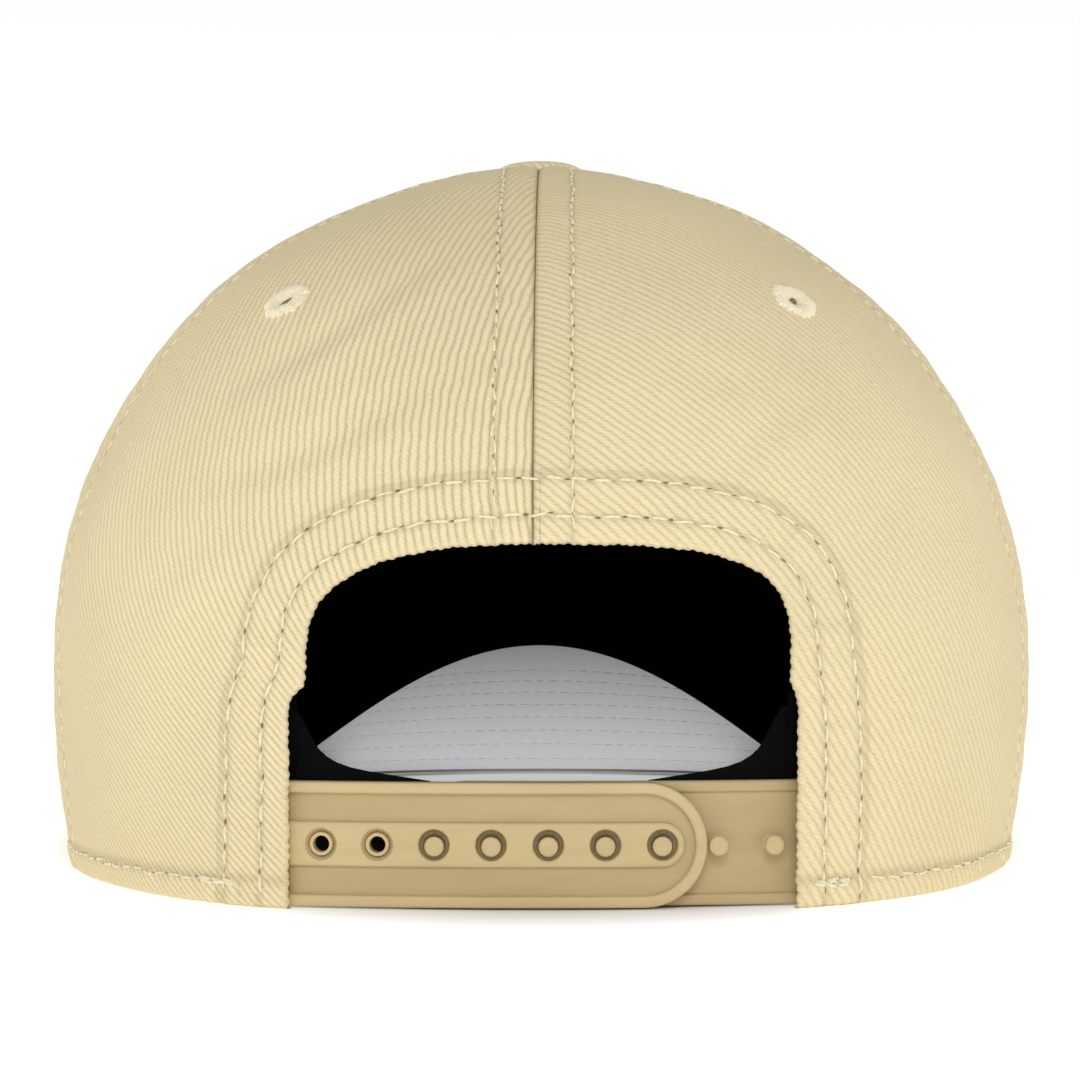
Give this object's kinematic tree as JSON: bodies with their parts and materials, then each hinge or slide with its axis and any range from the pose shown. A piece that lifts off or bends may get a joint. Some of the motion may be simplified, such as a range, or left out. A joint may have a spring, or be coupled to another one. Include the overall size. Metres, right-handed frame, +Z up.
{
  "type": "baseball cap",
  "caption": "Six-panel twill baseball cap with a curved visor, embroidered vent eyelets and a two-piece snap strap across an arched rear opening.",
  "frame": {"origin": "centre of the head opening, on the plane of the hem", "axes": "+Y towards the visor's tip, so the snap strap faces -Y; +Z up through the button; +X to the wearer's right, which is the right when the cap is seen from behind"},
  "size_m": [0.1844, 0.2595, 0.1333],
  "materials": {
    "twill": "khaki cotton twill, matt, diagonal ribs about 1.4 mm apart",
    "lining": "black cotton and non-woven lining, matt",
    "undervisor": "mid-grey twill, matt",
    "board": "moulded polyethylene board, natural white",
    "thread": "cream polyester embroidery thread, soft sheen",
    "strap": "tan moulded polyethylene, fine satin"
  },
  "bodies": {
    "crown": {"front_panel_left": "twill", "front_panel_right": "twill", "side_panel_left": "twill", "side_panel_right": "twill", "rear_panel_left": "twill", "rear_panel_right": "twill", "arch_facing": "twill", "top_button": "twill", "visor_top_cover": "twill", "front_buckram_left": "lining", "front_buckram_right": "lining", "seam_tape_front": "lining", "seam_tape_front_left": "lining", "seam_tape_front_right": "lining", "seam_tape_rear": "lining", "seam_tape_rear_left": "lining", "seam_tape_rear_right": "lining", "button_back": "lining", "sweatband": "lining", "sweatband_core": "lining", "visor_under_cover": "undervisor", "visor_board": "board", "eyelet_front_left": "thread", "eyelet_front_right": "thread", "eyelet_side_left": "thread", "eyelet_side_right": "thread", "eyelet_rear_left": "thread", "eyelet_rear_right": "thread", "strap_female_tab": "strap", "strap_male_tab": "strap"},
    "female_strap": {"strap_female": "strap"},
    "male_strap": {"strap_male": "strap"}
  },
  "joints": [
    {"name": "female_strap_hinge", "type": "hinge", "parent": "crown", "child": "female_strap", "pos_m": [-0.0403, -0.0923, 0.0104], "axis": [0, 0, -1], "range_deg": [0, 85]},
    {"name": "male_strap_hinge", "type": "hinge", "parent": "crown", "child": "male_strap", "pos_m": [0.0407, -0.0881, 0.0104], "axis": [0, 0, -1], "range_deg": [0, 60]}
  ]
}
